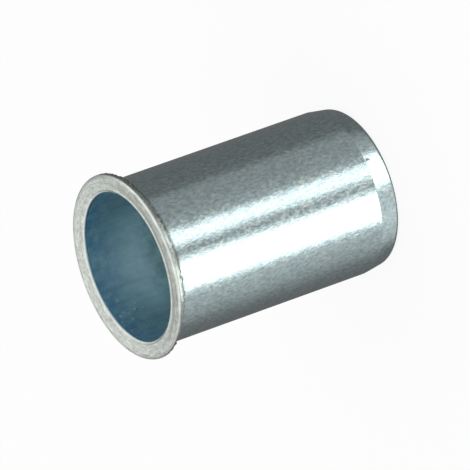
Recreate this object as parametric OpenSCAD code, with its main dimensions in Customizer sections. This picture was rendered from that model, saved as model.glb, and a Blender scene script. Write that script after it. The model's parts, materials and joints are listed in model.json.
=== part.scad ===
// Clamping nut: a blind rivet nut with a plain round shank and a narrow, slightly dished head.
// It stands on its rear end at z = 0, and the open mouth faces up. All sizes are in millimetres.

/* [Thread] */
// nominal diameter of the thread
thread_d = 6; // [4:0.1:7]
// distance from one thread crest to the next
thread_pitch = 1; // [0.5:0.05:1.25]
// height of the threaded rear part, from the rear end to the foot of the seat
thread_len = 6.2; // [4:0.1:8]
// how far the rear chamfer opens past the nominal thread, on the radius
thread_lead = 0.1; // [0.05:0.01:0.15]

/* [Shank] */
// outside diameter of the plain shank
shank_d = 9; // [8.6:0.1:11]
// thickness of the tube wall that folds when the nut is set
wall = 0.45; // [0.35:0.05:0.9]
// overall height, from the rear end to the crest of the rim
total_length = 14.5; // [12:0.1:20]
// height of the taper at the rear end
rear_taper_h = 1.26; // [0.6:0.02:3]
// how far the taper draws the rear end in, on the radius
rear_taper = 0.195; // [0.05:0.005:0.4]
// radius that rounds the rear edge
rear_edge_r = 0.35; // [0.1:0.05:0.5]

/* [Bore] */
// full angle of the conical seat between the tube and the thread
seat_angle = 118; // [80:1:150]
// radius that rounds the edge between the tube and the dished face
mouth_edge_r = 0.12; // [0.05:0.01:0.2]

/* [Head] */
// how far the head stands out past the shank, on the radius
head_overhang = 0.55; // [0.4:0.05:1.5]
// thickness of the head
head_h = 0.5; // [0.4:0.05:1.2]
// angle at which the dished face falls from the rim to the mouth
head_dish = 16.26; // [4:0.02:24]
// radius that rounds the crest of the rim
head_front_r = 0.275; // [0.1:0.005:0.3]
// radius that rounds the rear edge of the head
head_back_r = 0.08; // [0.03:0.01:0.12]
// radius of the hollow corner under the head
head_root_r = 0.22; // [0.05:0.01:0.26]

/* [Hidden] */
$fn = 160;
// basic depth of a metric thread, in pitches, measured on the diameter
thread_depth_ratio = 1.0825;
// overlap that carries a cut past the face it opens
past = 1.35;
// pale blue-grey of the zinc plate
zinc = [0.72, 0.77, 0.79];
shank_r = shank_d / 2;
bore_r = shank_r - wall;
minor_r = (thread_d - thread_depth_ratio * thread_pitch) / 2;
lead_r = thread_d / 2 + thread_lead;
head_r = shank_r + head_overhang;
head_z = total_length - head_h;
seat_top_z = thread_len + (bore_r - minor_r) / tan(seat_angle / 2);
// the round of the rear edge touches the rear plane and the taper
taper_angle = atan2(rear_taper, rear_taper_h);
rear_edge_x = shank_r - (rear_taper_h - rear_edge_r) * tan(taper_angle) - rear_edge_r / cos(taper_angle);
// the round of the crest touches the rim and the dished face
crest_x = head_r - head_front_r;
crest_z = total_length - head_front_r;
dish_x = crest_x - head_front_r * sin(head_dish);
dish_z = crest_z + head_front_r * cos(head_dish);
// the round of the mouth touches the dished face and the tube
mouth_x = bore_r + mouth_edge_r;
mouth_z = dish_z - (dish_x - mouth_x) * tan(head_dish) - mouth_edge_r / cos(head_dish);

// the web in a square corner at the origin, outside a circle of radius r that touches both sides
module corner_web(r) {
    difference() {
        square(r);
        translate([r, r])
            circle(r);
    }
}

// what lies outside a round of radius r about [x, z], between the directions from and to
module edge_web(x, z, r, from, to) {
    reach = r + past;
    mid = (from + to) / 2;
    difference() {
        polygon([
            [x, z],
            [x + reach * cos(from), z + reach * sin(from)],
            [x + 2 * reach * cos(mid), z + 2 * reach * sin(mid)],
            [x + reach * cos(to), z + reach * sin(to)],
        ]);
        translate([x, z])
            circle(r);
    }
}

// half section of the shank, tapered at the rear and rounded at the rear edge
module shank_section() {
    difference() {
        polygon([
            [0, 0],
            [shank_r - rear_taper, 0],
            [shank_r, rear_taper_h],
            [shank_r, total_length],
            [0, total_length],
        ]);
        edge_web(rear_edge_x, rear_edge_r, rear_edge_r, -90, -taper_angle);
    }
}

// half section of the head, with both rim edges rounded and the corner under it filled
module head_section() {
    difference() {
        translate([0, head_z])
            square([head_r, head_h]);
        edge_web(crest_x, crest_z, head_front_r, 0, 90 + head_dish);
        edge_web(head_r - head_back_r, head_z + head_back_r, head_back_r, -90, 0);
    }
    translate([shank_r, head_z])
        mirror([0, 1])
            corner_web(head_root_r);
}

// half section of the hollow: rear chamfer, thread core, conical seat, tube, rounded mouth and dished face
module hollow_section() {
    polygon([
        [0, -past],
        [lead_r + past, -past],
        [minor_r, lead_r - minor_r],
        [minor_r, thread_len],
        [bore_r, seat_top_z],
        [bore_r, dish_z - (dish_x - bore_r) * tan(head_dish)],
        [dish_x + past, dish_z + past * tan(head_dish)],
        [0, dish_z + past * tan(head_dish)],
    ]);
    edge_web(mouth_x, mouth_z, mouth_edge_r, 90 + head_dish, 180);
}

// the whole nut, turned about its axis
module clamping_nut() {
    color(zinc)
        rotate_extrude()
            difference() {
                union() {
                    shank_section();
                    head_section();
                }
                hollow_section();
            }
}

clamping_nut();
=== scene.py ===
import json

import bmesh
import bpy
import numpy as np
from mathutils import Matrix, Vector


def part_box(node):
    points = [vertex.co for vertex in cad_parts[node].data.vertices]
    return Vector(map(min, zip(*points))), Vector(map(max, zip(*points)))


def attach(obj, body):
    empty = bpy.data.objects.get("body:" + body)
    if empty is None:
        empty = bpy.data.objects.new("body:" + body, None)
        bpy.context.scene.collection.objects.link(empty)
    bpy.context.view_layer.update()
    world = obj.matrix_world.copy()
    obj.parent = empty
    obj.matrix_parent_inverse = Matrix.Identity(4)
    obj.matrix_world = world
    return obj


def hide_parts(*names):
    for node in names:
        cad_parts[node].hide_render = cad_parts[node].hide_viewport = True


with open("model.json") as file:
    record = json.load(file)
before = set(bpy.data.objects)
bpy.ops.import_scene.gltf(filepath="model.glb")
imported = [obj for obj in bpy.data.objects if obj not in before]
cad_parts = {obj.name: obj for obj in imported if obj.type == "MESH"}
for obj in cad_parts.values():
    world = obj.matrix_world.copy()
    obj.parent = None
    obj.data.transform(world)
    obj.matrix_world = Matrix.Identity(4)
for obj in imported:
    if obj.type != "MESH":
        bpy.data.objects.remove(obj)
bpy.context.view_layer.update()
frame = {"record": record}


# The nut is one piece of low-carbon steel, cold-formed from a slug: the head is upset, the tube behind it
# is drawn thin, and the thick rear half is tapped M6 by 1. It is then zinc-plated in a barrel and
# blue-passivated. Its sizes are in millimetres, and those that the frame holds are taken from it.
mm = 0.001
box_low, box_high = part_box("clamping_nut")
fits = {mount["name"]: mount["dims"] for mount in frame["record"]["mounts"]}
length = box_high[2] / mm
head_r = min(-box_low[0], -box_low[1], box_high[0], box_high[1]) / mm
head_h = 0.5
head_z = length - head_h
head_back_r = 0.08
head_root_r = 0.22
head_front_r = 0.275
# the rear edge of the head is ragged by ragged_h, and the head is thinner by thin_h towards thin_side
ragged_h = 0.085
thin_h = 0.2
thin_side = np.radians(170.0)
dish = 7.0 / 24.0
shank_r = fits["shank"]["r_mm"]
taper_h = 1.26
taper_in = 0.195
taper_crease_r = 0.4
rear_edge_r = 0.35
bore_r = fits["mouth_bore"]["r_mm"]
mouth_edge_r = 0.12
lip_r = 4.26
lip_half = 0.09
lip_h = 0.055
crest_r = fits["thread"]["r_mm"]
pitch = 1.0
groove_r = 3.0
thread_lead = 0.1
lead_r = groove_r + thread_lead
thread_end_z = lead_r - crest_r + fits["thread"]["length_mm"]
turn = np.linspace(0.0, 2.0 * np.pi, 385)

# the rim and the dished face would meet at rim_corner_z, and the face and the bore at mouth_corner_z
slope = np.hypot(1.0, dish)
rim_corner_z = length - head_front_r + head_front_r * (slope + dish)
mouth_corner_z = rim_corner_z - (head_r - bore_r) * dish
seat_top_z = mouth_corner_z + mouth_edge_r * (dish - slope) - fits["mouth_bore"]["length_mm"]


def straight(start, end, steps):
    """Points of a straight line in the half section, spaced by half a cosine wave so that they crowd
    at both ends."""
    share = (1.0 - np.cos(np.linspace(0.0, np.pi, steps + 1))) / 2.0
    return np.outer(1.0 - share, start) + np.outer(share, end)


def rounded(before, corner, after, radius, steps):
    """Points of the arc that rounds a corner of the half section and touches both of its sides.
    Its centre lies on the line that halves the corner, radius / sin(half the angle) away, and the arc
    turns about it from where it touches the side before to where it touches the side after."""
    back = np.subtract(before, corner)
    ahead = np.subtract(after, corner)
    back = back / np.hypot(*back)
    ahead = ahead / np.hypot(*ahead)
    half = np.arccos(back @ ahead) / 2.0
    centre = corner + (back + ahead) / (2.0 * np.cos(half)) * radius / np.sin(half)
    first = corner + back * radius / np.tan(half) - centre
    swing = np.copysign(np.pi - 2.0 * half, back[1] * ahead[0] - back[0] * ahead[1])
    angle = np.linspace(0.0, swing, steps + 1)[:, None]
    return centre + first * np.cos(angle) + np.array([-first[1], first[0]]) * np.sin(angle)


# each corner has its place, its radius, then the steps and finish of its round and of the line after it
# the finishes are 0 shank, 1 rim, 2 face and 3 bore
corners = [
    ((lead_r, 0.0), 0.0, 0, 0, 6, 0),
    ((shank_r - taper_in, 0.0), rear_edge_r, 12, 0, 8, 0),
    ((shank_r, taper_h), taper_crease_r, 4, 0, 40, 0),
    ((shank_r, head_z), head_root_r, 8, 0, 4, 0),
    ((head_r, head_z), head_back_r, 6, 1, 6, 1),
    ((head_r, rim_corner_z), head_front_r, 20, 1, 24, 2),
    ((bore_r, mouth_corner_z), mouth_edge_r, 10, 2, 28, 3),
    ((bore_r, seat_top_z), 0.0, 0, 0, 0, 0),
]
places = [corner[0] for corner in corners]
rounds = [
    rounded(before, corner, after, radius, steps)
    for before, (corner, radius, steps, *_), after in zip(places, corners[1:], places[2:])]
starts = [np.array(places[:1])] + rounds
ends = rounds + [np.array(places[-1:])]
lines = [straight(start[-1], end[0], corner[4]) for start, end, corner in zip(starts, ends, corners)]
section = np.concatenate([lines[0]] + [part[1:] for pair in zip(rounds, lines[1:]) for part in pair])
# the punch has pushed up a low lip round the mouth: a bell curve of height lip_h, added to the face
on_face = section[:, 1] > mouth_corner_z
section[on_face, 1] += lip_h * np.exp(-((section[on_face, 0] - lip_r) / lip_half) ** 2)
row_finish = np.concatenate([
    np.repeat([corner[3], corner[5]], [corner[2], corner[4]]) for corner in corners])


def turned(half_section, angle):
    """The half section carried round the axis: x = r cos a, y = r sin a, and z stays."""
    r, z = half_section[:, :1], half_section[:, 1:]
    return np.stack([r * np.cos(angle), r * np.sin(angle), z + 0.0 * angle], axis=-1)


def as_struck(even, angle):
    """The turned skin with the rear side of its head as the die left it, shifted along the axis twice.
    On thin_side the whole rear side lies higher by up to thin_h. This shift comes and goes by a smooth step
    of the cosine of the angle, and fades out up the rim and down the shank. All round, the rear edge is
    ragged by ragged_h times three sines of whole numbers of waves in a turn, and these fade towards
    the shank."""
    r, z = np.hypot(even[..., 0], even[..., 1]), even[..., 2]
    rim_top_z = length - head_front_r
    up_rim = np.clip((rim_top_z - z) / (rim_top_z - head_z), 0.0, 1.0)
    down_shank = np.clip((z - head_z + 2.0) / 1.7, 0.0, 1.0)
    step = np.clip((np.cos(angle - thin_side) - 0.17) / 0.6, 0.0, 1.0)
    thinner = thin_h * step ** 2 * (3.0 - 2.0 * step) * down_shank
    wave = (np.sin(47.0 * angle) + np.sin(61.0 * angle + 1.3) + np.sin(83.0 * angle + 4.0)) / 3.0
    torn = ragged_h * wave * np.clip((r - shank_r - 0.2) / 0.3, 0.0, 1.0)
    return even + ((thinner + torn) * up_rim)[..., None] * np.array([0.0, 0.0, 1.0])


def tapped(angle):
    """The tapped hole with its seat and rear chamfer, on a grid that climbs one pitch in a turn.
    z is the height along the groove plus the climb, held between the rear end and the top of the seat, and
    r is the largest of the thread form, the 45 degree chamfer and the cone of the seat at that height."""
    form = np.array([0.0, 2.0, 3.25, 4.5, 5.75, 7.0, 9.0, 10.25, 11.5, 12.75, 14.0]) / 16.0
    turns = np.arange(-1.0, np.ceil(seat_top_z / pitch) + 1.0)[:, None]
    along = pitch * (turns + form).reshape(-1, 1)
    from_groove = np.abs(np.mod(along / pitch, 1.0) - 0.5)
    flank = np.clip((from_groove - 1.0 / 16.0) / (5.0 / 16.0), 0.0, 1.0)
    z = np.clip(along + pitch * angle / (2.0 * np.pi), 0.0, seat_top_z)
    chamfer = lead_r - z
    seat = crest_r + (z - thread_end_z) * (bore_r - crest_r) / (seat_top_z - thread_end_z)
    r = np.maximum(groove_r - (groove_r - crest_r) * flank, np.maximum(chamfer, seat))
    return np.stack([r * np.cos(angle), r * np.sin(angle), z], axis=-1)


def grid_faces(rows, columns, first):
    """Four corners of each cell of a grid of points that is stored row by row from index first."""
    corner = first + np.arange(rows - 1)[:, None] * columns + np.arange(columns - 1)
    return np.stack([corner, corner + 1, corner + columns + 1, corner + columns], axis=-1).reshape(-1, 4)


even = turned(section, turn)
skin = as_struck(even, turn)
thread = tapped(turn)
points = np.concatenate([skin.reshape(-1, 3), thread.reshape(-1, 3)]) * mm
cells = np.concatenate([
    grid_faces(len(skin), len(turn), 0),
    grid_faces(len(thread), len(turn), skin.shape[0] * skin.shape[1]),
])
finish = np.concatenate([
    np.repeat(row_finish, len(turn) - 1),
    np.full((len(thread) - 1) * (len(turn) - 1), 4),
])
nut_mesh = bpy.data.meshes.new("rivet_nut")
nut_mesh.from_pydata(points.tolist(), [], cells.tolist())
nut_mesh.polygons.foreach_set("material_index", finish.astype(np.int32))
nut_mesh.polygons.foreach_set("use_smooth", np.ones(len(cells), dtype=bool))
# even_z is the height before the die's shifts, which the painted shade under the head and on its rear edge
# follows
even_z = np.concatenate([even[..., 2].ravel(), thread[..., 2].ravel()])
nut_mesh.attributes.new("even_z", "FLOAT", "POINT").data.foreach_set("value", even_z.astype(np.float32))
shell = bmesh.new()
shell.from_mesh(nut_mesh)
bmesh.ops.remove_doubles(shell, verts=shell.verts, dist=2e-7)
bmesh.ops.recalc_face_normals(shell, faces=shell.faces)
shell.to_mesh(nut_mesh)
shell.free()
nut_mesh.set_sharp_from_angle(angle=np.radians(35.0))
nut = bpy.data.objects.new("rivet_nut", nut_mesh)
bpy.context.collection.objects.link(nut)


def linear(hex_colour):
    """An sRGB hex colour as linear red, green, blue and 1: each is ((c + 0.055) / 1.055) to the power 2.4,
    or c / 12.92 where c is small."""
    c = np.array([int(hex_colour[i:i + 2], 16) / 255.0 for i in (1, 3, 5)])
    return (*np.where(c <= 0.04045, c / 12.92, ((c + 0.055) / 1.055) ** 2.4).tolist(), 1.0)


def add_node(tree, kind, inputs, **settings):
    """Adds a node of that kind with its settings, and gives each named input a value or a link."""
    made = tree.nodes.new(kind)
    for name, value in settings.items():
        setattr(made, name, value)
    for name, value in inputs.items():
        if isinstance(value, bpy.types.NodeSocket):
            tree.links.new(value, made.inputs[name])
        else:
            made.inputs[name].default_value = value
    return made


def new_plate(name):
    """Puts a new material on the nut, and returns its emptied tree and the place in millimetres."""
    made = bpy.data.materials.new(name)
    made.use_nodes = True
    made.node_tree.nodes.clear()
    nut.data.materials.append(made)
    place = add_node(made.node_tree, "ShaderNodeTexCoord", {})
    return made.node_tree, add_node(made.node_tree, "ShaderNodeMapping", {
        "Vector": place.outputs["Object"], "Scale": (1000.0, 1000.0, 1000.0)})


# Bright zinc plate from a barrel, blue-passivated, on the drawn shank: a mirror broken up by crystals about
# a sixth of a millimetre apart and drawn out along the shank. Flecks are bluer or greener, and the duller
# ones give reflections ragged edges. A few nodules stand out. Under the head, patchy dark shade is painted.
tree, in_mm = new_plate("zinc_plate_barrel_bright")
drawn = add_node(tree, "ShaderNodeMapping", {"Vector": in_mm.outputs["Vector"], "Scale": (1.0, 1.0, 0.6)})
apart = add_node(tree, "ShaderNodeMapping", {
    "Vector": drawn.outputs["Vector"], "Location": (7.0, 3.0, 5.0)})
crystals = add_node(tree, "ShaderNodeTexNoise", {
    "Vector": drawn.outputs["Vector"], "Scale": 1.0 / 0.16, "Detail": 4.0, "Roughness": 0.7})
flecks = add_node(tree, "ShaderNodeTexNoise", {
    "Vector": apart.outputs["Vector"], "Scale": 1.0 / 0.14, "Detail": 3.0, "Roughness": 0.6})
clouds = add_node(tree, "ShaderNodeTexNoise", {
    "Vector": in_mm.outputs["Vector"], "Scale": 1.0 / 1.2, "Detail": 3.0, "Roughness": 0.5})
depth = add_node(tree, "ShaderNodeMapRange", {
    "Value": crystals.outputs["Fac"], "From Min": 0.34, "From Max": 0.66, "To Min": 0.74, "To Max": 1.16})
tint = add_node(tree, "ShaderNodeMapRange", {
    "Value": flecks.outputs["Fac"], "From Min": 0.34, "From Max": 0.66})
colour = add_node(tree, "ShaderNodeMix", {
    "Factor": tint.outputs["Result"], "A": linear("#C1DAE3"), "B": linear("#D4E1DB")}, data_type="RGBA")
tone = add_node(tree, "ShaderNodeMix", {
    "Factor": 1.0, "A": colour.outputs["Result"], "B": depth.outputs["Result"]},
    data_type="RGBA", blend_type="MULTIPLY")
even_height = add_node(tree, "ShaderNodeAttribute", {}, attribute_name="even_z")
# painted shade: just under the head the shank is darkened in patches towards #59605C
under_head = add_node(tree, "ShaderNodeMapRange", {
    "Value": even_height.outputs["Fac"], "From Min": head_z - 0.44, "From Max": head_z - 0.26})
patches = add_node(tree, "ShaderNodeTexNoise", {
    "Vector": in_mm.outputs["Vector"], "Scale": 1.0 / 0.45, "Detail": 2.0, "Roughness": 0.5})
patchy_shade = add_node(tree, "ShaderNodeMapRange", {
    "Value": patches.outputs["Fac"], "From Min": 0.38, "From Max": 0.5, "To Max": 0.9})
painted_shade_under_head = add_node(tree, "ShaderNodeMath", {
    0: under_head.outputs["Result"], 1: patchy_shade.outputs["Result"]}, operation="MULTIPLY")
with_shade_under_head = add_node(tree, "ShaderNodeMix", {
    "Factor": painted_shade_under_head.outputs["Value"], "A": tone.outputs["Result"], "B": linear("#59605C")},
    data_type="RGBA")
dullness = add_node(tree, "ShaderNodeMapRange", {
    "Value": flecks.outputs["Fac"], "From Min": 0.34, "From Max": 0.66, "To Min": 0.08, "To Max": 0.24})
waves = add_node(tree, "ShaderNodeBump", {
    "Height": clouds.outputs["Fac"], "Strength": 1.0, "Distance": 0.015 * mm})
ripple = add_node(tree, "ShaderNodeBump", {
    "Height": crystals.outputs["Fac"], "Strength": 1.0, "Distance": 0.008 * mm,
    "Normal": waves.outputs["Normal"]})
spots = add_node(tree, "ShaderNodeTexVoronoi", {"Vector": in_mm.outputs["Vector"], "Scale": 1.0 / 2.8})
nodules = add_node(tree, "ShaderNodeMapRange", {
    "Value": spots.outputs["Distance"], "From Min": 0.06, "From Max": 0.0})
beads = add_node(tree, "ShaderNodeBump", {
    "Height": nodules.outputs["Result"], "Strength": 1.0, "Distance": 0.025 * mm,
    "Normal": ripple.outputs["Normal"]})
metal = add_node(tree, "ShaderNodeBsdfPrincipled", {
    "Base Color": with_shade_under_head.outputs["Result"], "Metallic": 1.0, "Roughness": dullness.outputs["Result"],
    "Normal": beads.outputs["Normal"]})
add_node(tree, "ShaderNodeOutputMaterial", {"Surface": metal.outputs["BSDF"]})


def round_streaks(tree, in_mm, long_mm, wide_mm):
    """Noise drawn out round the axis. Two of its coordinates are the direction from the axis, scaled so
    that one step of noise is long_mm at the rim. The third is radius less height, in steps of wide_mm."""
    flat = add_node(tree, "ShaderNodeVectorMath", {
        0: in_mm.outputs["Vector"], 1: (1.0, 1.0, 0.0)}, operation="MULTIPLY")
    outward = add_node(tree, "ShaderNodeVectorMath", {0: flat.outputs["Vector"]}, operation="NORMALIZE")
    along = add_node(tree, "ShaderNodeVectorMath", {
        0: outward.outputs["Vector"], "Scale": head_r / long_mm}, operation="SCALE")
    radius = add_node(tree, "ShaderNodeVectorMath", {0: flat.outputs["Vector"]}, operation="LENGTH")
    height = add_node(tree, "ShaderNodeSeparateXYZ", {"Vector": in_mm.outputs["Vector"]})
    over = add_node(tree, "ShaderNodeMath", {
        0: radius.outputs["Value"], 1: height.outputs["Z"]}, operation="SUBTRACT")
    across = add_node(tree, "ShaderNodeMath", {0: over.outputs["Value"], 1: wide_mm}, operation="DIVIDE")
    lift = add_node(tree, "ShaderNodeCombineXYZ", {"Z": across.outputs["Value"]})
    where = add_node(tree, "ShaderNodeVectorMath", {
        0: along.outputs["Vector"], 1: lift.outputs["Vector"]}, operation="ADD")
    noise = add_node(tree, "ShaderNodeTexNoise", {
        "Vector": where.outputs["Vector"], "Scale": 1.0, "Detail": 3.0, "Roughness": 0.6})
    return add_node(tree, "ShaderNodeMapRange", {
        "Value": noise.outputs["Fac"], "From Min": 0.34, "From Max": 0.66})


# The same plate on the rim that the die upset: a pale, dull metal with grey streaks that run round it,
# under a tenth of a millimetre wide. A bright line is painted along the crest's outer edge as a highlight,
# over a dark line of painted shade, and the crest is painted darker and brownish on the -Y side as shade.
# The side of the rim is smoother, and its torn rear edge has dark painted shade.
tree, in_mm = new_plate("zinc_plate_on_upset_rim")
dark_line_z = length - 0.21
highlight_z = length - 0.15
streaks = round_streaks(tree, in_mm, 0.7, 0.08)
crystals = add_node(tree, "ShaderNodeTexNoise", {
    "Vector": in_mm.outputs["Vector"], "Scale": 1.0 / 0.3, "Detail": 3.0, "Roughness": 0.6})
speckle = add_node(tree, "ShaderNodeMapRange", {
    "Value": crystals.outputs["Fac"], "From Min": 0.36, "From Max": 0.64})
mixture = add_node(tree, "ShaderNodeMix", {
    "Factor": 0.4, "A": streaks.outputs["Result"], "B": speckle.outputs["Result"]}, data_type="FLOAT")
streaked = add_node(tree, "ShaderNodeMix", {
    "Factor": mixture.outputs["Result"], "A": linear("#9DA39E"), "B": linear("#E2E8E3")}, data_type="RGBA")
height = add_node(tree, "ShaderNodeSeparateXYZ", {"Vector": in_mm.outputs["Vector"]})
# painted shade: a dark line round the rim at dark_line_z, towards #7E8480
from_dark_line = add_node(tree, "ShaderNodeMath", {0: height.outputs["Z"], 1: dark_line_z}, operation="SUBTRACT")
off_dark_line = add_node(tree, "ShaderNodeMath", {0: from_dark_line.outputs["Value"]}, operation="ABSOLUTE")
painted_dark_line = add_node(tree, "ShaderNodeMapRange", {
    "Value": off_dark_line.outputs["Value"], "From Min": 0.045, "From Max": 0.01, "To Max": 0.7})
with_dark_line = add_node(tree, "ShaderNodeMix", {
    "Factor": painted_dark_line.outputs["Result"], "A": streaked.outputs["Result"], "B": linear("#7E8480")},
    data_type="RGBA")
# painted shade: the crest is darkened brownish (multiplied by #B5B0A4) on the -Y side
on_crest = add_node(tree, "ShaderNodeMapRange", {
    "Value": height.outputs["Z"], "From Min": length - 0.12, "From Max": length - 0.06, "To Max": 0.4})
shaded_side = add_node(tree, "ShaderNodeMapRange", {
    "Value": height.outputs["Y"], "From Min": -1.6, "From Max": -4.0})
tint_share = add_node(tree, "ShaderNodeMath", {
    0: on_crest.outputs["Result"], 1: shaded_side.outputs["Result"]}, operation="MULTIPLY")
tinted = add_node(tree, "ShaderNodeMix", {
    "Factor": tint_share.outputs["Value"], "A": with_dark_line.outputs["Result"], "B": linear("#B5B0A4")},
    data_type="RGBA", blend_type="MULTIPLY")
# painted highlight: a bright line towards #F6F8F6 along the crest's outer edge at highlight_z
from_edge = add_node(tree, "ShaderNodeMath", {0: height.outputs["Z"], 1: highlight_z}, operation="SUBTRACT")
off_edge = add_node(tree, "ShaderNodeMath", {0: from_edge.outputs["Value"]}, operation="ABSOLUTE")
painted_highlight = add_node(tree, "ShaderNodeMapRange", {
    "Value": off_edge.outputs["Value"], "From Min": 0.07, "From Max": 0.02, "To Max": 0.4})
with_painted_highlight = add_node(tree, "ShaderNodeMix", {
    "Factor": painted_highlight.outputs["Result"], "A": tinted.outputs["Result"], "B": linear("#F6F8F6")},
    data_type="RGBA")
side = add_node(tree, "ShaderNodeMapRange", {
    "Value": height.outputs["Z"], "From Min": length - 0.2, "From Max": length - 0.27})
tone = add_node(tree, "ShaderNodeMix", {
    "Factor": side.outputs["Result"], "A": with_painted_highlight.outputs["Result"], "B": linear("#E4E9E5")},
    data_type="RGBA", blend_type="MULTIPLY")
dullness = add_node(tree, "ShaderNodeMapRange", {
    "Value": side.outputs["Result"], "To Min": 0.4, "To Max": 0.22})
even_height = add_node(tree, "ShaderNodeAttribute", {}, attribute_name="even_z")
# painted shade: the rim's rear edge is darkened in patches towards #59605C
rear_edge = add_node(tree, "ShaderNodeMapRange", {
    "Value": even_height.outputs["Fac"], "From Min": head_z + 0.13, "From Max": head_z + 0.04})
edge_shade_breaks = add_node(tree, "ShaderNodeMapRange", {
    "Value": crystals.outputs["Fac"], "From Min": 0.38, "From Max": 0.5, "To Max": 0.9})
painted_edge_shade = add_node(tree, "ShaderNodeMath", {
    0: rear_edge.outputs["Result"], 1: edge_shade_breaks.outputs["Result"]}, operation="MULTIPLY")
with_painted_edge_shade = add_node(tree, "ShaderNodeMix", {
    "Factor": painted_edge_shade.outputs["Value"], "A": tone.outputs["Result"], "B": linear("#59605C")},
    data_type="RGBA")
relief = add_node(tree, "ShaderNodeBump", {
    "Height": streaks.outputs["Result"], "Strength": 1.0, "Distance": 0.006 * mm})
grain = add_node(tree, "ShaderNodeBump", {
    "Height": crystals.outputs["Fac"], "Strength": 1.0, "Distance": 0.02 * mm,
    "Normal": relief.outputs["Normal"]})
metal = add_node(tree, "ShaderNodeBsdfPrincipled", {
    "Base Color": with_painted_edge_shade.outputs["Result"], "Metallic": 1.0, "Roughness": dullness.outputs["Result"],
    "Normal": grain.outputs["Normal"]})
add_node(tree, "ShaderNodeOutputMaterial", {"Surface": metal.outputs["BSDF"]})

# The same plate on the dished face, which the punch left with fine streaks that run round it and burnished
# smoother at the mouth: a pale, dull metal. A brighter ring is painted on its inner edge as a highlight,
# and where it turns into the bore it is painted dark bluish as shade.
tree, in_mm = new_plate("zinc_plate_on_punched_face")
streaks = round_streaks(tree, in_mm, 0.9, 0.08)
crystals = add_node(tree, "ShaderNodeTexNoise", {
    "Vector": in_mm.outputs["Vector"], "Scale": 1.0 / 0.2, "Detail": 3.0, "Roughness": 0.6})
speckle = add_node(tree, "ShaderNodeMapRange", {
    "Value": crystals.outputs["Fac"], "From Min": 0.34, "From Max": 0.66})
mixture = add_node(tree, "ShaderNodeMix", {
    "Factor": 0.45, "A": streaks.outputs["Result"], "B": speckle.outputs["Result"]}, data_type="FLOAT")
tone = add_node(tree, "ShaderNodeMix", {
    "Factor": mixture.outputs["Result"], "A": linear("#A9AEA8"), "B": linear("#E5EAE3")}, data_type="RGBA")
flat = add_node(tree, "ShaderNodeVectorMath", {
    0: in_mm.outputs["Vector"], 1: (1.0, 1.0, 0.0)}, operation="MULTIPLY")
radius = add_node(tree, "ShaderNodeVectorMath", {0: flat.outputs["Vector"]}, operation="LENGTH")
# painted highlight: the face's inner edge is lightened towards #F1F4F2, and it is also made smoother
inner_edge = add_node(tree, "ShaderNodeMapRange", {
    "Value": radius.outputs["Value"], "From Min": lip_r - 0.06, "From Max": lip_r - 0.16, "To Max": 0.8})
with_painted_highlight_ring = add_node(tree, "ShaderNodeMix", {
    "Factor": inner_edge.outputs["Result"], "A": tone.outputs["Result"], "B": linear("#F1F4F2")},
    data_type="RGBA")
height = add_node(tree, "ShaderNodeSeparateXYZ", {"Vector": in_mm.outputs["Vector"]})
# painted shade: the face is darkened towards #6A848E where it turns into the bore
into_bore = add_node(tree, "ShaderNodeMapRange", {
    "Value": height.outputs["Z"], "From Min": mouth_corner_z + 0.03, "From Max": mouth_corner_z - 0.03})
with_painted_mouth_shade = add_node(tree, "ShaderNodeMix", {
    "Factor": into_bore.outputs["Result"], "A": with_painted_highlight_ring.outputs["Result"], "B": linear("#6A848E")},
    data_type="RGBA")
dullness = add_node(tree, "ShaderNodeMapRange", {
    "Value": inner_edge.outputs["Result"], "To Min": 0.27, "To Max": 0.2})
relief = add_node(tree, "ShaderNodeBump", {
    "Height": streaks.outputs["Result"], "Strength": 1.0, "Distance": 0.003 * mm})
grain = add_node(tree, "ShaderNodeBump", {
    "Height": crystals.outputs["Fac"], "Strength": 1.0, "Distance": 0.014 * mm,
    "Normal": relief.outputs["Normal"]})
metal = add_node(tree, "ShaderNodeBsdfPrincipled", {
    "Base Color": with_painted_mouth_shade.outputs["Result"], "Metallic": 1.0, "Roughness": dullness.outputs["Result"],
    "Normal": grain.outputs["Normal"]})
add_node(tree, "ShaderNodeOutputMaterial", {"Surface": metal.outputs["BSDF"]})


def set_stops(ramp_node, stops):
    """Gives a colour ramp these stops, in order, each with a position from 0 to 1 and a linear colour."""
    elements = ramp_node.color_ramp.elements
    while len(elements) < len(stops):
        elements.new(0.5)
    for element, (position, stop_colour) in zip(elements, stops):
        element.position = position
        element.color = stop_colour


# Inside the tube the passivation is thicker: a satin blue, mottled with greener blotches. Along the depth
# its brightness is painted light and shade: darkest and deepest blue near the mouth, paler further in, and
# darker again towards the thread. The punch has drawn faint lines along it, and a cluster of pale specks
# lies in it.
tree, in_mm = new_plate("zinc_plate_in_drawn_bore")
depth_reach = 5.0
blue_and_light_by_depth = [(0.5, "#8EC0E0"), (2.4, "#CCEBF9"), (3.2, "#CFECF8"), (4.2, "#98B8C0")]
cluster_place = (-2.6, 3.1, length - 1.0)
drawn = add_node(tree, "ShaderNodeMapping", {"Vector": in_mm.outputs["Vector"], "Scale": (4.0, 4.0, 0.3)})
scores = add_node(tree, "ShaderNodeTexNoise", {
    "Vector": drawn.outputs["Vector"], "Scale": 1.0, "Detail": 3.0, "Roughness": 0.6})
blotches = add_node(tree, "ShaderNodeTexNoise", {
    "Vector": in_mm.outputs["Vector"], "Scale": 1.0 / 0.7, "Detail": 6.0, "Roughness": 0.7})
height = add_node(tree, "ShaderNodeSeparateXYZ", {"Vector": in_mm.outputs["Vector"]})
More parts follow.
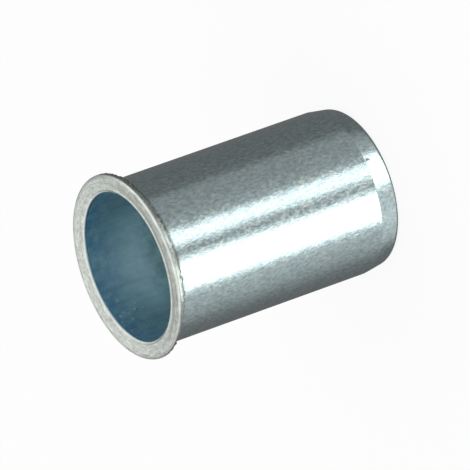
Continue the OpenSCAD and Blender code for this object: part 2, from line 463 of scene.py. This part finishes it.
# painted light and shade: the blue is darker near the mouth, paler deeper in and darker again further down
inward = add_node(tree, "ShaderNodeMapRange", {
    "Value": height.outputs["Z"], "From Min": length, "From Max": length - depth_reach})
blue_with_painted_light = add_node(tree, "ShaderNodeValToRGB", {"Fac": inward.outputs["Result"]})
set_stops(blue_with_painted_light, [(depth_mm / depth_reach, linear(tint_hex)) for depth_mm, tint_hex in blue_and_light_by_depth])
tint_share = add_node(tree, "ShaderNodeMapRange", {
    "Value": blotches.outputs["Fac"], "From Min": 0.42, "From Max": 0.62, "To Max": 0.5})
tinted = add_node(tree, "ShaderNodeMix", {
    "Factor": tint_share.outputs["Result"], "A": blue_with_painted_light.outputs["Color"], "B": linear("#BCDAD4")},
    data_type="RGBA")
mottle = add_node(tree, "ShaderNodeMix", {
    "Factor": 0.75, "A": scores.outputs["Fac"], "B": blotches.outputs["Fac"]}, data_type="FLOAT")
depth = add_node(tree, "ShaderNodeMapRange", {
    "Value": mottle.outputs["Result"], "From Min": 0.4, "From Max": 0.6, "To Min": 0.84, "To Max": 1.1})
tone = add_node(tree, "ShaderNodeMix", {
    "Factor": 1.0, "A": tinted.outputs["Result"], "B": depth.outputs["Result"]},
    data_type="RGBA", blend_type="MULTIPLY")
scoring = add_node(tree, "ShaderNodeBump", {
    "Height": scores.outputs["Fac"], "Strength": 1.0, "Distance": 0.004 * mm})
spots = add_node(tree, "ShaderNodeTexVoronoi", {"Vector": in_mm.outputs["Vector"], "Scale": 1.0 / 0.3})
specks = add_node(tree, "ShaderNodeMapRange", {
    "Value": spots.outputs["Distance"], "From Min": 0.3, "From Max": 0.1})
from_cluster = add_node(tree, "ShaderNodeVectorMath", {
    0: in_mm.outputs["Vector"], 1: cluster_place}, operation="DISTANCE")
cluster = add_node(tree, "ShaderNodeMapRange", {
    "Value": from_cluster.outputs["Value"], "From Min": 1.9, "From Max": 0.9})
clustered = add_node(tree, "ShaderNodeMath", {
    0: specks.outputs["Result"], 1: cluster.outputs["Result"]}, operation="MULTIPLY")
beads = add_node(tree, "ShaderNodeBump", {
    "Height": clustered.outputs["Value"], "Strength": 1.0, "Distance": 0.014 * mm,
    "Normal": scoring.outputs["Normal"]})
specked = add_node(tree, "ShaderNodeMix", {
    "Factor": clustered.outputs["Value"], "A": tone.outputs["Result"], "B": linear("#DCEDF5")},
    data_type="RGBA")
metal = add_node(tree, "ShaderNodeBsdfPrincipled", {
    "Base Color": specked.outputs["Result"], "Metallic": 1.0, "Roughness": 0.41,
    "Normal": beads.outputs["Normal"]})
add_node(tree, "ShaderNodeOutputMaterial", {"Surface": metal.outputs["BSDF"]})

# The tapped hole has the thinnest plate, because barrel plating barely reaches into it: a greyer, duller
# metal in the thread, torn finely by the tap, and a paler one on the seat, which the plating still reaches.
tree, in_mm = new_plate("zinc_plate_in_tapped_hole")
tearing = add_node(tree, "ShaderNodeTexNoise", {
    "Vector": in_mm.outputs["Vector"], "Scale": 1.0 / 0.15, "Detail": 3.0, "Roughness": 0.6})
tone = add_node(tree, "ShaderNodeMix", {
    "Factor": tearing.outputs["Fac"], "A": linear("#98AAB3"), "B": linear("#BCCAD0")}, data_type="RGBA")
height = add_node(tree, "ShaderNodeSeparateXYZ", {"Vector": in_mm.outputs["Vector"]})
on_seat = add_node(tree, "ShaderNodeMapRange", {
    "Value": height.outputs["Z"], "From Min": thread_end_z - 0.05, "From Max": thread_end_z + 0.05})
seated = add_node(tree, "ShaderNodeMix", {
    "Factor": on_seat.outputs["Result"], "A": tone.outputs["Result"], "B": linear("#E6F2F4")},
    data_type="RGBA")
metal = add_node(tree, "ShaderNodeBsdfPrincipled", {
    "Base Color": seated.outputs["Result"], "Metallic": 1.0, "Roughness": 0.32})
add_node(tree, "ShaderNodeOutputMaterial", {"Surface": metal.outputs["BSDF"]})

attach(nut, "root")
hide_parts("clamping_nut")


# The floor is a sheet of matt white card on which the nut stands, large enough to fill every view.
# The camera sees most of it as plain white, and the rest keeps the soft shadow at the foot of the nut.
floor_half = 2.0
unit_square = np.array([(-1.0, -1.0, 0.0), (1.0, -1.0, 0.0), (1.0, 1.0, 0.0), (-1.0, 1.0, 0.0)])
floor_mesh = bpy.data.meshes.new("white_card")
floor_mesh.from_pydata((unit_square * floor_half).tolist(), [], [(0, 1, 2, 3)])
floor = bpy.data.objects.new("white_card", floor_mesh)
bpy.context.collection.objects.link(floor)
card = bpy.data.materials.new("matt_white_card")
card.use_nodes = True
tree = card.node_tree
tree.nodes.clear()
path = add_node(tree, "ShaderNodeLightPath", {})
camera_or_glossy = add_node(tree, "ShaderNodeMath", {
    0: path.outputs["Is Camera Ray"], 1: path.outputs["Is Glossy Ray"]}, operation="MAXIMUM")
seen = add_node(tree, "ShaderNodeMath", {
    0: camera_or_glossy.outputs["Value"], 1: path.outputs["Is Transmission Ray"]}, operation="MAXIMUM")
white_share = add_node(tree, "ShaderNodeMath", {0: seen.outputs["Value"], 1: 0.85}, operation="MULTIPLY")
matt = add_node(tree, "ShaderNodeBsdfDiffuse", {"Color": linear("#F4F4F2")})
white = add_node(tree, "ShaderNodeEmission", {"Color": linear("#FFFFFF"), "Strength": 1.0})
both = add_node(tree, "ShaderNodeMixShader", {
    0: white_share.outputs["Value"], 1: matt.outputs["BSDF"], 2: white.outputs["Emission"]})
add_node(tree, "ShaderNodeOutputMaterial", {"Surface": both.outputs["Shader"]})
floor.data.materials.append(card)
floor.visible_glossy = False
floor.visible_shadow = False


# The studio is a soft white tent above, and below the horizon a grey room, graded darker towards the back.
# White panels stand in it: tall ones in front, which the shank mirrors as bands, low ones that only the
# taper mirrors, and two at the horizon for the crest. Azimuth is in degrees from the front, + towards +X.
studio = bpy.data.worlds.new("studio")
bpy.context.scene.world = studio
studio.use_nodes = True
tree = studio.node_tree
tree.nodes.clear()
towards = add_node(tree, "ShaderNodeTexCoord", {})
parts = add_node(tree, "ShaderNodeSeparateXYZ", {"Vector": towards.outputs["Generated"]})
front = add_node(tree, "ShaderNodeMath", {0: parts.outputs["Y"], 1: -1.0}, operation="MULTIPLY")
azimuth = add_node(tree, "ShaderNodeMath", {
    0: parts.outputs["X"], 1: front.outputs["Value"]}, operation="ARCTAN2")
azimuth = add_node(tree, "ShaderNodeMath", {0: azimuth.outputs["Value"]}, operation="DEGREES")
elevation = add_node(tree, "ShaderNodeMath", {0: parts.outputs["Z"]}, operation="ARCSINE")
elevation = add_node(tree, "ShaderNodeMath", {0: elevation.outputs["Value"]}, operation="DEGREES")
room_fac = add_node(tree, "ShaderNodeMapRange", {
    "Value": azimuth.outputs["Value"], "From Min": -180.0, "From Max": 180.0})
room = add_node(tree, "ShaderNodeValToRGB", {"Fac": room_fac.outputs["Result"]})
room_levels = [
    (-180.0, 0.14), (-150.0, 0.15), (-124.0, 0.20), (-112.0, 0.28), (-94.0, 0.45), (-76.0, 0.55),
    (-62.0, 0.66), (-20.0, 0.74), (-10.0, 0.40), (30.0, 0.42), (56.0, 0.34), (77.0, 0.34), (82.0, 0.185),
    (110.0, 0.17), (150.0, 0.165), (180.0, 0.14)]
set_stops(room, [(degrees / 360.0 + 0.5, (level, level, level, 1.0)) for degrees, level in room_levels])
tent = add_node(tree, "ShaderNodeMapRange", {
    "Value": elevation.outputs["Value"], "From Min": -20.0, "From Max": 40.0},
    interpolation_type="SMOOTHSTEP")
lit = add_node(tree, "ShaderNodeMix", {
    "Factor": tent.outputs["Result"], "A": room.outputs["Color"], "B": 1.0}, data_type="FLOAT")
total = lit.outputs["Result"]
# each panel has its first and last azimuth, its lowest and highest elevation, the width of its soft edge
# and its level
panels = [
    (-58.0, -16.0, -36.0, 0.0, 6.0, 1.6),
    (4.0, 24.0, -36.0, 0.0, 4.0, 1.4),
    (-14.0, 40.0, -80.0, -38.0, 4.0, 1.6),
    (-112.0, -54.0, -80.0, -38.0, 6.0, 0.2),
    (40.0, 66.0, -80.0, -38.0, 6.0, 0.12),
    (30.0, 116.0, -8.0, 26.0, 20.0, 0.7),
    (-60.0, 30.0, -4.0, 30.0, 20.0, 0.3),
]
for first, last, lowest, highest, soft, level in panels:
    glow = level
    for angle, edge, rising in (
            (azimuth, first, 1.0), (azimuth, last, -1.0),
            (elevation, lowest, 1.0), (elevation, highest, -1.0)):
        within = add_node(tree, "ShaderNodeMapRange", {
            "Value": angle.outputs["Value"], "From Min": edge - rising * soft / 2.0,
            "From Max": edge + rising * soft / 2.0}, interpolation_type="SMOOTHSTEP")
        glow = add_node(tree, "ShaderNodeMath", {
            0: glow, 1: within.outputs["Result"]}, operation="MULTIPLY").outputs["Value"]
    total = add_node(tree, "ShaderNodeMath", {0: total, 1: glow}, operation="ADD").outputs["Value"]
path = add_node(tree, "ShaderNodeLightPath", {})
shown = add_node(tree, "ShaderNodeMix", {
    "Factor": path.outputs["Is Camera Ray"], "A": total, "B": 1.0}, data_type="FLOAT")
sky = add_node(tree, "ShaderNodeBackground", {
    "Color": linear("#FFFFFF"), "Strength": shown.outputs["Result"]})
add_node(tree, "ShaderNodeOutputWorld", {"Surface": sky.outputs["Background"]})
bpy.context.scene.view_settings.view_transform = "Standard"


# The camera stands in front of the nut and above it, and is rolled until the nut lies on its side in the
# frame. It was fitted to the outline: a focal length of 9000 pixels, and 19.227 pixels to a millimetre at
# the head's face, whose centre lies at face_px.
frame_px = 470.0
focal_px = 9000.0
px_per_mm = 19.227
raised = np.radians(28.33)
rolled = np.radians(-109.605)
face_px = np.array([124.01, 268.34])
away = np.array([0.0, np.cos(raised), -np.sin(raised)])
level_right = np.array([1.0, 0.0, 0.0])
level_up = np.array([0.0, np.sin(raised), np.cos(raised)])
right = np.cos(rolled) * level_right + np.sin(rolled) * level_up
up = np.cos(rolled) * level_up - np.sin(rolled) * level_right
aside = (face_px - frame_px / 2.0) / px_per_mm
stand = np.array([0.0, 0.0, length]) - away * focal_px / px_per_mm - right * aside[0] + up * aside[1]
lens = bpy.data.cameras.new("camera")
lens.sensor_width = 36.0
lens.lens = focal_px / frame_px * lens.sensor_width
camera = bpy.data.objects.new("camera", lens)
bpy.context.collection.objects.link(camera)
turned_to = Matrix(np.stack([right, up, -away], axis=1).tolist())
camera.matrix_world = Matrix.Translation(Vector((stand * mm).tolist())) @ turned_to.to_4x4()
bpy.context.scene.camera = camera
